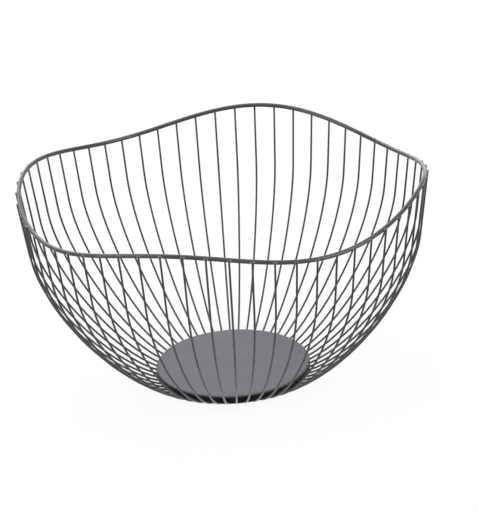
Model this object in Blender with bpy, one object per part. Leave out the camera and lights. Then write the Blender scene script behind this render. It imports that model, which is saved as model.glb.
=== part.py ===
"""Fruit bowl: a welded basket of rib wires between one wavy rim wire and a pressed base disc.

Metres, +Z up. The origin is on the table, under the centre of the bowl, and the rim's first wave
peaks over +X. Heights and radii are those of the wires' centre lines unless a name says otherwise.
Every rib has the same bends and is cut to length at the rim, so the rim's waves lie on the basket's
own turned surface.
"""

import math

import bmesh
import bpy
import numpy as np

# Rim wire
RIM_DIAMETER = 0.295  # seen from above, at the mean height
RIM_HEIGHT = 0.1505  # mean height above the table
RIM_RISE = 0.007  # how far the waves rise above the mean height, and fall below it
RIM_WAVES = 4
RIM_WIRE = 0.0032  # thickness of the wire
RIM_SIDES = 8

# Rib wires
RIB_COUNT = 60
RIB_WIRE = 0.0015  # thickness of the wire
RIB_LEAN = math.radians(7.5)  # outward lean from upright at the rim
RIB_STRAIGHT = 0.038  # straight run below the rim's mean height
RIB_TURN = math.radians(68)  # lean from upright at the foot, where the rib meets the base
RIB_CURVE_SHARE = 0.285  # handles of the curved wall, as a share of the distance that it spans
RIB_TIP = 0.0007  # how far a rib's cut end stands above the rim's centre line
FOOT_HEIGHT = 0.0009  # of a rib's end, above the table
RIB_SIDES = 6
WALL_STEPS = 11
RIM_STEPS_PER_RIB = 2

# Base disc
BASE_DIAMETER = 0.116  # over the skirt
BASE_HEIGHT = 0.0062  # top face above the table
BASE_SHEET = 0.001  # thickness of the sheet
BASE_SHOULDER = 0.0015  # outer radius of the fold between top and skirt
SHOULDER_STEPS = 3

# Fit
WELD_GAP = 0.0003  # left between welded neighbours
BASE_RIBS = 2  # ribs that are one solid with the base, spaced evenly
SMOOTH_BELOW = math.radians(65)  # edges that turn less than this are shaded smooth

# Finish: colour, roughness, metallic
COAT_RIM = ((0.027, 0.027, 0.029, 1.0), 0.35, 0.0)
COAT_RIB = ((0.024, 0.024, 0.026, 1.0), 0.35, 0.0)
COAT_BASE = ((0.080, 0.079, 0.086, 1.0), 0.45, 0.0)

RIB_PITCH = math.tau / RIB_COUNT
BASE_RIB_NUMBERS = [1 + i * RIB_COUNT // BASE_RIBS for i in range(BASE_RIBS)]


def clear_scene():
    for thing in list(bpy.data.objects):
        bpy.data.objects.remove(thing, do_unlink=True)


def coat(name, finish):
    """A painted metal material."""
    colour, roughness, metallic = finish
    material = bpy.data.materials.new(name)
    material.use_nodes = True
    shader = material.node_tree.nodes["Principled BSDF"]
    shader.inputs["Base Color"].default_value = colour
    shader.inputs["Roughness"].default_value = roughness
    shader.inputs["Metallic"].default_value = metallic
    return material


def skin(name, rings, material, around=False):
    """An object whose faces bridge rings of points, joined end to end when around, else with capped ends."""
    rows = len(rings)
    sides = len(rings[0])
    faces = []
    for i in range(rows if around else rows - 1):
        low = i * sides
        high = (i + 1) % rows * sides
        for j in range(sides):
            k = (j + 1) % sides
            faces.append((low + j, low + k, high + k, high + j))
    if not around:
        faces.append(tuple(range(sides)))
        faces.append(tuple(range((rows - 1) * sides, rows * sides)))
    mesh = bpy.data.meshes.new(name)
    mesh.from_pydata([tuple(point) for ring in rings for point in ring], [], faces)
    body = bmesh.new()
    body.from_mesh(mesh)
    bmesh.ops.recalc_face_normals(body, faces=body.faces)
    body.to_mesh(mesh)
    body.free()
    mesh.shade_smooth()
    mesh.set_sharp_from_angle(angle=SMOOTH_BELOW)
    mesh.materials.append(material)
    thing = bpy.data.objects.new(name, mesh)
    bpy.context.scene.collection.objects.link(thing)
    return thing


def wire_ring(centre, first, second, wire, sides):
    """A wire's cross section: a polygon whose flats touch the round wire, one flat facing along first."""
    radius = wire / 2 / math.cos(math.pi / sides)
    turns = [(j + 0.5) * math.tau / sides for j in range(sides)]
    return [centre + radius * (math.cos(t) * first + math.sin(t) * second) for t in turns]


def rim_height(angle):
    """Height of the rim's centre line at an angle round the bowl."""
    return RIM_HEIGHT + RIM_RISE * math.cos(RIM_WAVES * angle)


def rim_radius(angle):
    """The rim leans with the wall, so it is wider where it is higher."""
    return RIM_DIAMETER / 2 + (rim_height(angle) - RIM_HEIGHT) * math.tan(RIB_LEAN)


def rim_point(angle):
    radius = rim_radius(angle)
    return np.array([radius * math.cos(angle), radius * math.sin(angle), rim_height(angle)])


def make_rim(material):
    steps = RIM_STEPS_PER_RIB * RIB_COUNT
    rings = []
    for i in range(steps):
        angle = i * math.tau / steps
        ahead = rim_point(angle + math.tau / steps) - rim_point(angle - math.tau / steps)
        ahead = ahead / np.linalg.norm(ahead)
        outward = np.array([math.cos(angle), math.sin(angle), 0.0]) * math.cos(RIB_LEAN)
        outward[2] = -math.sin(RIB_LEAN)
        upward = np.cross(outward, ahead)
        upward = upward / np.linalg.norm(upward)
        rings.append(wire_ring(rim_point(angle), outward, upward, RIM_WIRE, RIM_SIDES))
    return skin("rim_wire", rings, material, around=True)


def skirt_face():
    """Radius of the flat middle of each of the skirt's facets, one facet to a rib."""
    return BASE_DIAMETER / 2 * math.cos(RIB_PITCH / 2)


def rib_line(angle):
    """A rib's centre line from tip to foot, as (radius, height): a straight, then a curve to the skirt."""
    upward = np.array([math.sin(RIB_LEAN), math.cos(RIB_LEAN)])
    inward = np.array([-math.sin(RIB_TURN), -math.cos(RIB_TURN)])
    beside_rim = (RIM_WIRE / 2 + WELD_GAP + RIB_WIRE / 2) / math.cos(RIB_LEAN)
    mean = np.array([RIM_DIAMETER / 2 + beside_rim, RIM_HEIGHT])
    tip = mean + upward * ((rim_height(angle) - RIM_HEIGHT) / math.cos(RIB_LEAN) + RIB_TIP)
    start = mean - upward * RIB_STRAIGHT
    seat = np.array([skirt_face() + WELD_GAP, FOOT_HEIGHT])
    handle = RIB_CURVE_SHARE * np.linalg.norm(seat - start)
    high = start - upward * handle
    low = seat - inward * handle
    line = [tip]
    for i in range(WALL_STEPS + 1):
        t = i / WALL_STEPS
        s = 1 - t
        line.append(s**3 * start + 3 * s * s * t * high + 3 * s * t * t * low + t**3 * seat)
    return line


def make_rib(name, number, sink, material):
    """One rib, modelled over +X and turned to its place. Its foot runs on into the skirt by the sink."""
    angle = (number - 0.5) * RIB_PITCH
    line = rib_line(angle)
    if sink:
        line.append(line[-1] - np.array([sink, 0.0]))
    across = np.array([0.0, 1.0, 0.0])
    rings = []
    for i, (radius, height) in enumerate(line):
        ahead = np.subtract(line[min(i + 1, len(line) - 1)], line[max(i - 1, 0)])
        if i == len(line) - 1:
            ahead = np.array([-1.0, 0.0])
        ahead = ahead / np.linalg.norm(ahead)
        inward = np.array([ahead[1], 0.0, -ahead[0]])
        rings.append(wire_ring(np.array([radius, 0.0, height]), inward, across, RIB_WIRE, RIB_SIDES))
    rib = skin(name, rings, material)
    rib.rotation_euler = (0.0, 0.0, angle)
    return rib


def base_outline():
    """The sheet's section as (radius, height), from the top face over the shoulder to under the sheet."""
    outer = BASE_DIAMETER / 2
    fold = outer - BASE_SHOULDER
    spring = BASE_HEIGHT - BASE_SHOULDER
    turns = [i / SHOULDER_STEPS * math.pi / 2 for i in range(SHOULDER_STEPS + 1)]
    top = [(fold + BASE_SHOULDER * math.sin(t), spring + BASE_SHOULDER * math.cos(t)) for t in turns]
    inner = BASE_SHOULDER - BASE_SHEET
    under = [(fold + inner * math.sin(t), spring + inner * math.cos(t)) for t in reversed(turns)]
    return top + [(outer, 0.0), (outer - BASE_SHEET, 0.0)] + under


def make_base(material, rib_material):
    """The turned disc, with its own ribs' feet sunk into the skirt and joined to it."""
    rings = []
    for radius, height in base_outline():
        corners = [i * RIB_PITCH for i in range(RIB_COUNT)]
        rings.append([(radius * math.cos(a), radius * math.sin(a), height) for a in corners])
    base = skin("base_disc", rings, material)
    for number in BASE_RIB_NUMBERS:
        rib = make_rib(f"guide_rib_{number:02d}", number, WELD_GAP + BASE_SHEET / 2, rib_material)
        rib.display_type = "WIRE"
        rib.hide_render = True
        join = base.modifiers.new(f"Weld rib {number}", "BOOLEAN")
        join.operation = "UNION"
        join.solver = "EXACT"
        join.object = rib
    return base


def main():
    clear_scene()
    rim_coat = coat("rim_coat", COAT_RIM)
    rib_coat = coat("rib_coat", COAT_RIB)
    base_coat = coat("base_coat", COAT_BASE)
    parts = [make_rim(rim_coat), make_base(base_coat, rib_coat)]
    for number in range(1, RIB_COUNT + 1):
        if number not in BASE_RIB_NUMBERS:
            parts.append(make_rib(f"rib_{number:02d}", number, 0.0, rib_coat))
    bowl = bpy.data.objects.new("fruit_bowl", None)
    bpy.context.scene.collection.objects.link(bowl)
    for part in parts:
        part.parent = bowl


main()
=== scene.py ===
"""Looks of the wire fruit bowl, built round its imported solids.

Metres, +Z up. The origin is on the table, under the centre of the bowl, and the rim's first wave peaks
over +X. Heights and radii are those of the wires' centre lines unless a name says otherwise. The sizes
are those of the solids, so each piece lies in the space of the node that it stands for. Only the ribs
stand a little further in at their tops, sunk into the rim as welding leaves them.
"""

import math

import bpy
import numpy as np
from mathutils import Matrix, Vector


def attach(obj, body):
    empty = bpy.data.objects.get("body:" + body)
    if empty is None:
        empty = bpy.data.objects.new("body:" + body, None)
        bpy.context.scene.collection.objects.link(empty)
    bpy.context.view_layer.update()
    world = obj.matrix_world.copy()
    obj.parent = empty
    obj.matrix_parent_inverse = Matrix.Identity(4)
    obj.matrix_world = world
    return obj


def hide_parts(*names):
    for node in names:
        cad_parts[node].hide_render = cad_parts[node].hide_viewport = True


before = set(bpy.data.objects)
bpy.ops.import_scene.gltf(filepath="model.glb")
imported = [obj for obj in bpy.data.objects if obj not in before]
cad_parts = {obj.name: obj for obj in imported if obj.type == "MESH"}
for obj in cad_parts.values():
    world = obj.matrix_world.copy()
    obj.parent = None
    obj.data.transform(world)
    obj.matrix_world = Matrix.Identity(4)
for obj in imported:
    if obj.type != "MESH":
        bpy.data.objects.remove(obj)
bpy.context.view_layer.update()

MM = 0.001

# Rim wire
RIM_DIAMETER = 295 * MM  # seen from above, at the mean height
RIM_HEIGHT = 150.5 * MM  # mean height above the table
RIM_RISE = 7 * MM  # how far the waves rise above the mean height, and fall below it
RIM_WAVES = 4
RIM_WIRE = 3.2 * MM  # thickness of the wire
RIM_STEPS = 720
RIM_SIDES = 20
RIM_PROBE = 1e-4  # radians to either side of a point, to find the rim's direction there

# Where the rim wire's two ends meet in a butt weld
JOINT_ANGLE = math.radians(-29)
JOINT_LENGTH = 1.3 * MM  # from the weld's middle to where about a third of its swelling is left
JOINT_SWELL = 0.16 * MM  # growth of the wire's radius at the weld's middle

# Rib wires
RIB_COUNT = 60
RIB_PITCH = math.tau / RIB_COUNT
RIB_WIRE = 1.5 * MM  # thickness of the wire
RIB_LEAN = math.radians(7.5)  # outward lean from upright at the rim
RIB_STRAIGHT = 38 * MM  # straight run below the rim's mean height
RIB_TURN = math.radians(68)  # lean from upright at the foot, where the rib meets the base
RIB_CURVE_SHARE = 0.285  # handles of the curved wall, as a share of the distance that it spans
RIB_TIP = 0.7 * MM  # how far a rib's cut end stands above the rim's centre line
RIB_SIDES = 12
WALL_STEPS = 36
FOOT_HEIGHT = 0.9 * MM  # of a rib's end, above the table
CUT_CHAMFER = 0.15 * MM  # at both cut ends of a rib

# Base disc
BASE_DIAMETER = 116 * MM  # over the skirt
BASE_HEIGHT = 6.2 * MM  # top face above the table
BASE_SHEET = 1 * MM  # thickness of the sheet
BASE_SHOULDER = 1.5 * MM  # outer radius of the fold between top and skirt
BASE_STEPS = 240
EDGE_ROUND = 0.3 * MM  # radius of the skirt's two lower edges
FACE_RINGS = 12  # rings of points on the flat top, and on its underside
SHOULDER_STEPS = 10
INNER_SHOULDER_STEPS = 6
EDGE_STEPS = 5

# Welds
WELD_GAP = 0.3 * MM  # between a rib's foot and the skirt
WELD_SINK = 0.4 * MM  # how deep a rib's top is sunk into the rim
RIM_WELD = (0.8 * MM, 0.8 * MM, 0.28 * MM)  # half sizes of a bead: along the rib, beside it, through it
RIM_WELD_BESIDE = 0.95 * MM  # from the rib's centre line to each of its two beads
RIM_WELD_ABOVE = 0.4 * MM  # from the rim's centre line up to the beads
RIM_WELD_TURN = math.radians(24)  # of each bead's face, out of the rim's face and away from the rib
RIM_WELD_RISE = math.radians(36)  # of each bead's face, up from the rim's face
FOOT_WELD = (0.85 * MM, 1.05 * MM, 0.5 * MM)  # half sizes: upright, beside the rib, outward
BEAD_ROWS = 5
BEAD_SIDES = 10

# An edge is crisp where its two faces turn by more degrees than these
CRISP_BASE = 30.0
CRISP_WIRE = 40.0
CRISP_RIB = 50.0
NEVER_CRISP = 180.0

# Noise in the coat: patterns to the metre, detail, roughness
CLOUD = (60.0, 3.0, 0.5)  # of the colour
GRAIN = (1400.0, 2.0, 0.5)  # of the gloss
DIMPLES = (700.0, 2.0, 0.6)  # of the surface
NOISE_LOW = 0.3  # nearly all of a pattern's values lie from this
NOISE_HIGH = 0.7  # to this
DIMPLE_DEPTH = 0.02 * MM

# Coats: darkest colour, lightest colour, lowest and highest roughness
WIRE_COAT = ((0.0235, 0.0200, 0.0215, 1), (0.0315, 0.0280, 0.0300, 1), 0.22, 0.32)
RIM_COAT = ((0.0260, 0.0220, 0.0235, 1), (0.0380, 0.0340, 0.0355, 1), 0.18, 0.26)
# Painted highlight: the weld beads are coloured much lighter than the wires' coat, standing in for the
# lamps' highlights on them
WELD_PAINTED_HIGHLIGHT_COAT = ((0.160, 0.153, 0.156, 1), (0.220, 0.213, 0.216, 1), 0.18, 0.26)
# Painted light: the sheet is coloured much lighter than the wires' coat, standing in for the top light
# that its upward face catches
SHEET_COAT_PAINTED_LIGHTER = ((0.076, 0.0715, 0.088, 1), (0.088, 0.0835, 0.100, 1), 0.42, 0.50)
# Painted shade: the skirt is coloured nearly black and made duller, standing in for the shade that it lies
# in
SKIRT_PAINTED_SHADE = (0.006, 0.006, 0.006, 1)
SKIRT_SHADE_GLOSS = 0.1  # specular level on the skirt, lowered with its painted shade
TOP_GLOSS = 0.32  # specular level on the disc's top face
SKIRT_SHADE_FADE = 0.1 * MM  # the skirt's painted shade ends this far below the top face

# Camera
CAMERA_TURN = math.radians(14.02)  # round the bowl, from straight before its front
CAMERA_HEIGHT = math.radians(23.44)  # above the table, seen from the point aimed at
CAMERA_TILT = math.radians(3.5)  # of the picture, round its own middle
CAMERA_DISTANCE = 1811 * MM
CAMERA_AIM = (9.8 * MM, 92.5 * MM)  # the point aimed at: right of the axis, and above the table
PICTURE_HEIGHT = 512
FOCAL_PIXELS = 2448
SENSOR = 36.0
NEAREST = 0.05
FARTHEST = 50.0

# Studio
WHITE = (1, 1, 1, 1)
FLOOR_COLOUR = (0.92, 0.92, 0.92, 1)
FLOOR_GLOW = 0.85  # share of plain white in what is seen of the floor near the bowl
GLOW_FROM = 0.4  # distance from the axis where that share starts to grow
GLOW_TO = 1.4  # distance from which the floor is plain white
FLOOR_SIZE = 30.0
SKY_LIGHT = 0.26

# Lamps: width, length, watts
TOP_LAMP = (2.0, 2.0, 18.0)
RIGHT_LAMP = (0.6, 0.6, 8.0)
LEFT_LAMP = (1.0, 1.0, 9.0)
BACK_LAMP = (3.0, 1.0, 9.0)
REAR_LEFT_LAMP = (1.4, 0.7, 9.0)
TOP_PLACE = (0.0, 0.1, 1.6)
TOP_AIM = (0, 0, 0)
LAMP_AIM = (0, 0, 120 * MM)

# Places of lamps: degrees round from the camera's right, degrees up, distance
RIGHT_PLACE = (-26, 24, 1.6)
LEFT_PLACE = (205, 27, 1.6)
BACK_PLACE = (90, 14, 2.6)
REAR_LEFT_PLACE = (115, 38, 1.8)


# Meshes


def piece(name, points, faces, coat, crisp):
    """A smooth-shaded mesh object at the origin, crisp where faces turn by more than so many degrees."""
    mesh = bpy.data.meshes.new(name)
    mesh.from_pydata(points.tolist(), [], faces)
    mesh.polygons.foreach_set("use_smooth", np.ones(len(mesh.polygons), bool))
    mesh.set_sharp_from_angle(angle=math.radians(crisp))
    mesh.materials.append(coat)
    thing = bpy.data.objects.new(name, mesh)
    bpy.context.scene.collection.objects.link(thing)
    return thing


def grid_faces(rows, sides, around):
    """Quads between neighbouring rings of points. With around, the last ring joins the first."""
    row = np.arange(rows if around else rows - 1)[:, None]
    side = np.arange(sides)[None, :]
    after = (side + 1) % sides
    low = row * sides
    high = (row + 1) % rows * sides
    quads = np.stack([low + side, low + after, high + after, high + side], axis=-1)
    return quads.reshape(-1, 4).tolist()


def flipped(faces):
    return [face[::-1] for face in faces]


def wire_grid(line, outward, beside, radii, sides):
    """Rings round a line: point + radius * (cos t * outward + sin t * beside), t going once round."""
    t = np.arange(sides) * math.tau / sides
    across = np.cos(t)[None, :, None] * outward[:, None, :]
    ring = across + np.sin(t)[None, :, None] * beside[:, None, :]
    return line[:, None, :] + radii[:, None, None] * ring


def unit(vectors):
    return vectors / np.linalg.norm(vectors, axis=-1, keepdims=True)


def turned(section, angles):
    """Points (radius, height) of a section carried round the bowl's axis to each angle."""
    radius = section[..., 0]
    height = section[..., 1]
    return np.stack([radius * np.cos(angles), radius * np.sin(angles), height + 0 * angles], axis=-1)


# Rim


def rim_height(angle):
    """Height of the rim's centre line at an angle round the bowl."""
    return RIM_HEIGHT + RIM_RISE * np.cos(RIM_WAVES * angle)


def rim_line(angle):
    """The rim lies on the cone of the ribs' straight tops, so it is wider where it is higher."""
    height = rim_height(angle)
    radius = RIM_DIAMETER / 2 + (height - RIM_HEIGHT) * math.tan(RIB_LEAN)
    return np.stack([radius * np.cos(angle), radius * np.sin(angle), height], axis=-1)


def rim_axes(angle):
    """The rim's two cross directions: outward, square to the cone, and upward along it."""
    along = unit(rim_line(angle + RIM_PROBE) - rim_line(angle - RIM_PROBE))
    east = np.cos(angle) * math.cos(RIB_LEAN)
    north = np.sin(angle) * math.cos(RIB_LEAN)
    outward = np.stack([east, north, np.full_like(angle, -math.sin(RIB_LEAN))], axis=-1)
    return outward, unit(np.cross(outward, along))


def make_rim(coat):
    """The rim's tube, swollen by a bell curve of its length where its two ends are butt welded."""
    angle = np.arange(RIM_STEPS) * math.tau / RIM_STEPS
    outward, upward = rim_axes(angle)
    away = (angle - JOINT_ANGLE + math.pi) % math.tau - math.pi
    swell = JOINT_SWELL * np.exp(-((away * RIM_DIAMETER / 2 / JOINT_LENGTH) ** 2))
    rings = wire_grid(rim_line(angle), outward, upward, RIM_WIRE / 2 + swell, RIM_SIDES)
    faces = flipped(grid_faces(RIM_STEPS, RIM_SIDES, True))
    return piece("rim", rings.reshape(-1, 3), faces, coat, CRISP_WIRE)


# Ribs


def rib_section(angle):
    """A rib's centre line from tip to foot, as (radius, height): a straight, then a curve to the skirt."""
    upward = np.array([math.sin(RIB_LEAN), math.cos(RIB_LEAN)])
    inward = np.array([-math.sin(RIB_TURN), -math.cos(RIB_TURN)])
    beside_rim = (RIM_WIRE / 2 + RIB_WIRE / 2 - WELD_SINK) / math.cos(RIB_LEAN)
    mean = np.array([RIM_DIAMETER / 2 + beside_rim, RIM_HEIGHT])
    tip = mean + upward * ((float(rim_height(angle)) - RIM_HEIGHT) / math.cos(RIB_LEAN) + RIB_TIP)
    start = mean - upward * RIB_STRAIGHT
    seat = np.array([BASE_DIAMETER / 2 * math.cos(RIB_PITCH / 2) + WELD_GAP, FOOT_HEIGHT])
    handle = RIB_CURVE_SHARE * np.linalg.norm(seat - start)
    high = start - upward * handle
    low = seat - inward * handle
    t = np.linspace(0, 1, WALL_STEPS + 1)[:-1, None]
    s = 1 - t
    wall = s**3 * start + 3 * s * s * t * high + 3 * s * t * t * low + t**3 * seat
    return np.vstack([tip, tip - upward * CUT_CHAMFER, wall, seat - inward * CUT_CHAMFER, seat])


def make_rib(number, coat):
    """One rib in the upright plane at its angle. Both cut ends have a small chamfer."""
    angle = (number - 0.5) * RIB_PITCH
    section = rib_section(angle)
    rows = len(section)
    ahead = unit(np.gradient(section, axis=0))
    ahead[0] = ahead[1]
    ahead[-2:] = (-1.0, 0.0)
    inside = np.stack([ahead[:, 1], -ahead[:, 0]], axis=-1)
    outward = turned(inside, angle)
    beside = np.tile([-math.sin(angle), math.cos(angle), 0.0], (rows, 1))
    radii = np.full(rows, RIB_WIRE / 2)
    radii[[0, -1]] -= CUT_CHAMFER
    rings = wire_grid(turned(section, angle), outward, beside, radii, RIB_SIDES)
    faces = grid_faces(rows, RIB_SIDES, False)
    faces.append(list(range(RIB_SIDES))[::-1])
    faces.append(list(range((rows - 1) * RIB_SIDES, rows * RIB_SIDES)))
    return piece(f"rib_wire_{number:02d}", rings.reshape(-1, 3), faces, coat, CRISP_RIB)


# Base


def arc(centre, radius, first, last, steps):
    """Points (radius, height) on an arc: centre + radius * (sin t, cos t), t in degrees from upright."""
    t = np.radians(np.linspace(first, last, steps + 1))[:, None]
    return np.array(centre) + radius * np.hstack([np.sin(t), np.cos(t)])


def base_section():
    """The sheet's section: the top from its middle, the shoulder, the skirt's edge and the underside."""
    outer = BASE_DIAMETER / 2
    fold = outer - BASE_SHOULDER
    spring = BASE_HEIGHT - BASE_SHOULDER
    inner = BASE_SHOULDER - BASE_SHEET
    share = np.linspace(0.0, 1.0, FACE_RINGS + 2)[1:-1, None]
    top = np.hstack([share * fold, np.full_like(share, BASE_HEIGHT)])
    under = np.hstack([share[::-1] * fold, np.full_like(share, BASE_HEIGHT - BASE_SHEET)])
    return np.vstack([
        top,
        arc((fold, spring), BASE_SHOULDER, 0, 90, SHOULDER_STEPS),
        arc((outer - EDGE_ROUND, EDGE_ROUND), EDGE_ROUND, 90, 180, EDGE_STEPS),
        arc((outer - BASE_SHEET + EDGE_ROUND, EDGE_ROUND), EDGE_ROUND, 180, 270, EDGE_STEPS),
        arc((fold, spring), inner, 90, 0, INNER_SHOULDER_STEPS),
        under,
    ])


def make_base(coat):
    """The section turned round the axis. One middle point closes the top, and another the underside."""
    section = base_section()
    angle = np.arange(BASE_STEPS) * math.tau / BASE_STEPS
    rings = turned(section[:, None, :], angle[None, :])
    rows = len(section)
    points = np.vstack([rings.reshape(-1, 3), [[0, 0, BASE_HEIGHT], [0, 0, BASE_HEIGHT - BASE_SHEET]]])
    faces = flipped(grid_faces(rows, BASE_STEPS, False))
    middle = rows * BASE_STEPS
    last = (rows - 1) * BASE_STEPS
    for i in range(BASE_STEPS):
        j = (i + 1) % BASE_STEPS
        faces.append([middle, i, j])
        faces.append([middle + 1, last + j, last + i])
    return piece("base", points, faces, coat, CRISP_BASE)


# Welds


def ball_grid():
    """A unit ball as rings of points between its two poles."""
    tilt = np.linspace(0, math.pi, BEAD_ROWS + 2)[1:-1, None]
    turn = (np.arange(BEAD_SIDES) * math.tau / BEAD_SIDES)[None, :]
    east = np.sin(tilt) * np.cos(turn)
    north = np.sin(tilt) * np.sin(turn)
    rings = np.stack([east, north, np.cos(tilt) + 0 * turn], axis=-1)
    faces = grid_faces(BEAD_ROWS, BEAD_SIDES, False)
    pole = BEAD_ROWS * BEAD_SIDES
    last = (BEAD_ROWS - 1) * BEAD_SIDES
    for i in range(BEAD_SIDES):
        j = (i + 1) % BEAD_SIDES
        faces.append([pole, j, i])
        faces.append([pole + 1, last + i, last + j])
    return np.vstack([rings.reshape(-1, 3), [[0, 0, 1], [0, 0, -1]]]), faces


def make_beads(name, centres, axes, half_sizes, coat):
    """One ball for each centre, stretched to its half sizes along its three axes."""
    ball, ball_faces = ball_grid()
    shapes = np.einsum("pk,nkc->npc", ball * np.array(half_sizes), axes) + centres[:, None, :]
    step = len(ball)
    faces = [[corner + i * step for corner in face] for i in range(len(centres)) for face in ball_faces]
    return piece(name, shapes.reshape(-1, 3), faces, coat, NEVER_CRISP)


def beside_rib(angle):
    """Level directions along the bowl's round, at each angle."""
    return np.stack([-np.sin(angle), np.cos(angle), 0 * angle], axis=-1)


def make_rim_welds(coat):
    """Two flat beads at each rib's top, one on either side, in the corner between the rib and the rim."""
    angle = np.tile((np.arange(RIB_COUNT) + 0.5) * RIB_PITCH, 2)
    side = np.repeat([-1.0, 1.0], RIB_COUNT)[:, None]
    outward = rim_axes(angle)[0]
    upward = np.cross(outward, beside_rib(angle))
    beside = side * beside_rib(angle)
    through = unit(outward + math.tan(RIM_WELD_TURN) * beside + math.tan(RIM_WELD_RISE) * upward)
    across = unit(np.cross(upward, through))
    on_rim = rim_line(angle) + outward * RIM_WIRE / 2
    centres = on_rim + beside * RIM_WELD_BESIDE + upward * RIM_WELD_ABOVE
    axes = np.stack([np.cross(through, across), across, through], axis=1)
    return make_beads("rim_welds", centres, axes, RIM_WELD, coat)


def make_foot_welds(coat):
    """A bead at each rib's foot, against the skirt's outer face."""
    angle = (np.arange(RIB_COUNT) + 0.5) * RIB_PITCH
    radius = BASE_DIAMETER / 2 + WELD_GAP / 2
    centres = turned(np.tile([radius, FOOT_HEIGHT], (RIB_COUNT, 1)), angle)
    upward = np.tile([0.0, 0.0, 1.0], (RIB_COUNT, 1))
    outward = np.stack([np.cos(angle), np.sin(angle), 0 * angle], axis=-1)
    axes = np.stack([upward, beside_rib(angle), outward], axis=1)
    return make_beads("foot_welds", centres, axes, FOOT_WELD, coat)


# Materials


def new_material(name):
    material = bpy.data.materials.new(name)
    material.use_nodes = True
    nodes = material.node_tree.nodes
    return material, nodes, material.node_tree.links, nodes["Principled BSDF"]


def noise(nodes, links, where, pattern):
    scale, detail, roughness = pattern
    node = nodes.new("ShaderNodeTexNoise")
    node.inputs["Scale"].default_value = scale
    node.inputs["Detail"].default_value = detail
    node.inputs["Roughness"].default_value = roughness
    links.new(where, node.inputs["Vector"])
    return node.outputs["Fac"]


def spread(nodes, links, value, low, high, to_low, to_high):
    """Maps a range of values onto another."""
    node = nodes.new("ShaderNodeMapRange")
    node.inputs["From Min"].default_value = low
    node.inputs["From Max"].default_value = high
    node.inputs["To Min"].default_value = to_low
    node.inputs["To Max"].default_value = to_high
    links.new(value, node.inputs["Value"])
    return node.outputs["Result"]


def blend_colour(nodes, links, share, first):
    """A mix that shows the first colour where the share is 0, and its own input B where it is 1."""
    node = nodes.new("ShaderNodeMix")
    node.data_type = "RGBA"
    node.inputs["A"].default_value = first
    links.new(share, node.inputs["Factor"])
    return node


def powder_coat(name, coat):
    """Satin powder coat: cloudy colour, uneven gloss, and the fine dimples of a sprayed and baked coat."""
    dark, light, lowest, highest = coat
    material, nodes, links, shader = new_material(name)
    where = nodes.new("ShaderNodeTexCoord").outputs["Object"]
    cloud = spread(nodes, links, noise(nodes, links, where, CLOUD), NOISE_LOW, NOISE_HIGH, 0, 1)
    colour = blend_colour(nodes, links, cloud, dark)
    colour.inputs["B"].default_value = light
    links.new(colour.outputs["Result"], shader.inputs["Base Color"])
    grain = noise(nodes, links, where, GRAIN)
    roughness = spread(nodes, links, grain, NOISE_LOW, NOISE_HIGH, lowest, highest)
    links.new(roughness, shader.inputs["Roughness"])
    bump = nodes.new("ShaderNodeBump")
    bump.inputs["Strength"].default_value = 1.0
    bump.inputs["Distance"].default_value = DIMPLE_DEPTH
    links.new(noise(nodes, links, where, DIMPLES), bump.inputs["Height"])
    links.new(bump.outputs["Normal"], shader.inputs["Normal"])
    return material


def base_coat_with_painted_shade(name, coat):
    """The same coat on the sheet, with painted shade on the skirt below the shoulder: nearly black and
    duller there.
    """
    material = powder_coat(name, coat)
    nodes = material.node_tree.nodes
    links = material.node_tree.links
    shader = nodes["Principled BSDF"]
    top_colour = shader.inputs["Base Color"].links[0].from_socket
    where = next(node for node in nodes if node.type == "TEX_COORD").outputs["Object"]
    split = nodes.new("ShaderNodeSeparateXYZ")
    links.new(where, split.inputs["Vector"])
    # Painted shade: below the shoulder the colour fades to the nearly black skirt colour and the specular
    # level drops
    below = BASE_HEIGHT - BASE_SHOULDER
    share = spread(nodes, links, split.outputs["Z"], below, BASE_HEIGHT - SKIRT_SHADE_FADE, 0, 1)
    colour = blend_colour(nodes, links, share, SKIRT_PAINTED_SHADE)
    links.new(top_colour, colour.inputs["B"])
    links.new(colour.outputs["Result"], shader.inputs["Base Color"])
    gloss = spread(nodes, links, share, 0, 1, SKIRT_SHADE_GLOSS, TOP_GLOSS)
    links.new(gloss, shader.inputs["Specular IOR Level"])
    return material


# Stage


def seen(nodes, links):
    """1 for rays that show the background itself: from the camera, by reflection or through glass."""
    path = nodes.new("ShaderNodeLightPath")
    first = nodes.new("ShaderNodeMath")
    first.operation = "MAXIMUM"
    links.new(path.outputs["Is Camera Ray"], first.inputs[0])
    links.new(path.outputs["Is Glossy Ray"], first.inputs[1])
    second = nodes.new("ShaderNodeMath")
    second.operation = "MAXIMUM"
    links.new(first.outputs[0], second.inputs[0])
    links.new(path.outputs["Is Transmission Ray"], second.inputs[1])
    return second.outputs[0]


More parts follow.
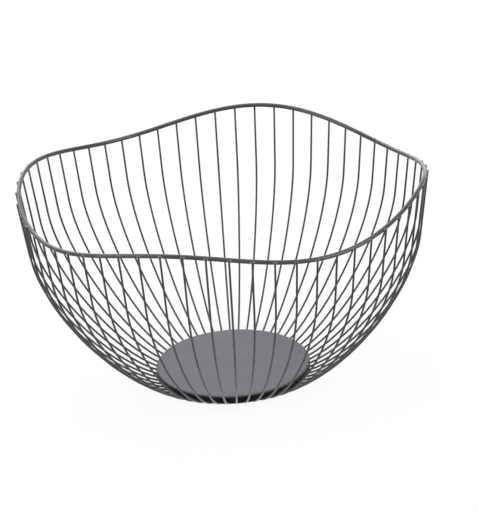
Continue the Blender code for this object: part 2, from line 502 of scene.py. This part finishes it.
def make_floor():
    """A pale floor that glows where it is seen, near the bowl only in part, which keeps the shadow."""
    material, nodes, links, shader = new_material("floor")
    shader.inputs["Base Color"].default_value = FLOOR_COLOUR
    shader.inputs["Roughness"].default_value = 1.0
    shader.inputs["Specular IOR Level"].default_value = 0.0
    glow = nodes.new("ShaderNodeEmission")
    glow.inputs["Color"].default_value = WHITE
    glow.inputs["Strength"].default_value = 1.0
    away = nodes.new("ShaderNodeVectorMath")
    away.operation = "LENGTH"
    links.new(nodes.new("ShaderNodeTexCoord").outputs["Object"], away.inputs[0])
    near = spread(nodes, links, away.outputs["Value"], GLOW_FROM, GLOW_TO, FLOOR_GLOW, 1.0)
    share = nodes.new("ShaderNodeMath")
    share.operation = "MULTIPLY"
    links.new(seen(nodes, links), share.inputs[0])
    links.new(near, share.inputs[1])
    mix = nodes.new("ShaderNodeMixShader")
    links.new(share.outputs[0], mix.inputs["Fac"])
    links.new(shader.outputs["BSDF"], mix.inputs[1])
    links.new(glow.outputs["Emission"], mix.inputs[2])
    links.new(mix.outputs["Shader"], nodes["Material Output"].inputs["Surface"])
    half = FLOOR_SIZE / 2
    corners = np.array([[-half, -half, 0], [half, -half, 0], [half, half, 0], [-half, half, 0]])
    floor = piece("floor", corners, [[0, 1, 2, 3]], material, NEVER_CRISP)


def make_world():
    """White where it is seen, and a soft grey light otherwise."""
    world = bpy.data.worlds.new("studio")
    bpy.context.scene.world = world
    world.use_nodes = True
    nodes = world.node_tree.nodes
    links = world.node_tree.links
    back = nodes["Background"]
    back.inputs["Color"].default_value = WHITE
    strength = spread(nodes, links, seen(nodes, links), 0, 1, SKY_LIGHT, 1.0)
    links.new(strength, back.inputs["Strength"])


def make_lamp(name, place, aim, build):
    """A flat soft light at its place, facing the point aimed at."""
    width, length, power = build
    lamp = bpy.data.lights.new(name, "AREA")
    lamp.shape = "RECTANGLE"
    lamp.size = width
    lamp.size_y = length
    lamp.energy = power
    thing = bpy.data.objects.new(name, lamp)
    thing.location = place
    direction = Vector(aim) - Vector(place)
    thing.rotation_euler = direction.to_track_quat("-Z", "Y").to_euler()
    bpy.context.scene.collection.objects.link(thing)


def studio_place(place):
    """The point at a lamp's degrees round from the camera's right, degrees up, and distance."""
    turn, height, distance = place
    turn = math.radians(turn) + CAMERA_TURN
    height = math.radians(height)
    flat = distance * math.cos(height)
    return flat * math.cos(turn), flat * math.sin(turn), distance * math.sin(height)


def make_lamps():
    make_lamp("top_softbox", TOP_PLACE, TOP_AIM, TOP_LAMP)
    make_lamp("right_softbox", studio_place(RIGHT_PLACE), LAMP_AIM, RIGHT_LAMP)
    make_lamp("left_softbox", studio_place(LEFT_PLACE), LAMP_AIM, LEFT_LAMP)
    make_lamp("back_softbox", studio_place(BACK_PLACE), LAMP_AIM, BACK_LAMP)
    make_lamp("rear_left_softbox", studio_place(REAR_LEFT_PLACE), LAMP_AIM, REAR_LEFT_LAMP)


def make_camera():
    """Looks down at the bowl from its front, turned round its own line of sight by the picture's tilt."""
    level = math.cos(CAMERA_HEIGHT)
    right = np.array([math.cos(CAMERA_TURN), math.sin(CAMERA_TURN), 0.0])
    ahead = np.array([-right[1] * level, right[0] * level, -math.sin(CAMERA_HEIGHT)])
    upward = np.cross(right, ahead)
    aim = right * CAMERA_AIM[0] + np.array([0.0, 0.0, CAMERA_AIM[1]])
    lens = bpy.data.cameras.new("camera")
    lens.sensor_fit = "VERTICAL"
    lens.sensor_height = SENSOR
    lens.lens = FOCAL_PIXELS * SENSOR / PICTURE_HEIGHT
    lens.clip_start = NEAREST
    lens.clip_end = FARTHEST
    thing = bpy.data.objects.new("camera", lens)
    matrix = np.eye(4)
    matrix[:3, 0] = right * math.cos(CAMERA_TILT) - upward * math.sin(CAMERA_TILT)
    matrix[:3, 1] = right * math.sin(CAMERA_TILT) + upward * math.cos(CAMERA_TILT)
    matrix[:3, 2] = -ahead
    matrix[:3, 3] = aim - CAMERA_DISTANCE * ahead
    thing.matrix_world = Matrix(matrix.tolist())
    bpy.context.scene.collection.objects.link(thing)
    bpy.context.scene.camera = thing


def main():
    make_camera()
    wire_coat = powder_coat("wire_coat", WIRE_COAT)
    rim_coat = powder_coat("rim_coat", RIM_COAT)
    # The weld beads' coat is lighter as a painted highlight
    weld_painted_highlight_coat = powder_coat("weld_painted_highlight_coat", WELD_PAINTED_HIGHLIGHT_COAT)
    # The sheet's coat has painted light on its top and painted shade on its skirt
    sheet_coat_painted_light_and_shade = base_coat_with_painted_shade("sheet_coat_painted_light_and_shade", SHEET_COAT_PAINTED_LIGHTER)
    rim = make_rim(rim_coat)
    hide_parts("rim_wire")
    base = make_base(sheet_coat_painted_light_and_shade)
    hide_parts("base_disc")
    rim_welds = make_rim_welds(weld_painted_highlight_coat)
    foot_welds = make_foot_welds(wire_coat)
    slots = {"rim_wire": (rim, rim_welds), "base_sheet": (base,), "rib_wire": (foot_welds,)}
    for slot, things in slots.items():
        for thing in things:
            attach(thing, "root")
    for number in range(1, RIB_COUNT + 1):
        rib = make_rib(number, wire_coat)
        node = f"rib_{number:02d}"
        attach(rib, "root")
        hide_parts(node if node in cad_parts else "base_disc")
    make_floor()
    make_world()
    make_lamps()
    bpy.context.scene.view_settings.view_transform = "Standard"


main()
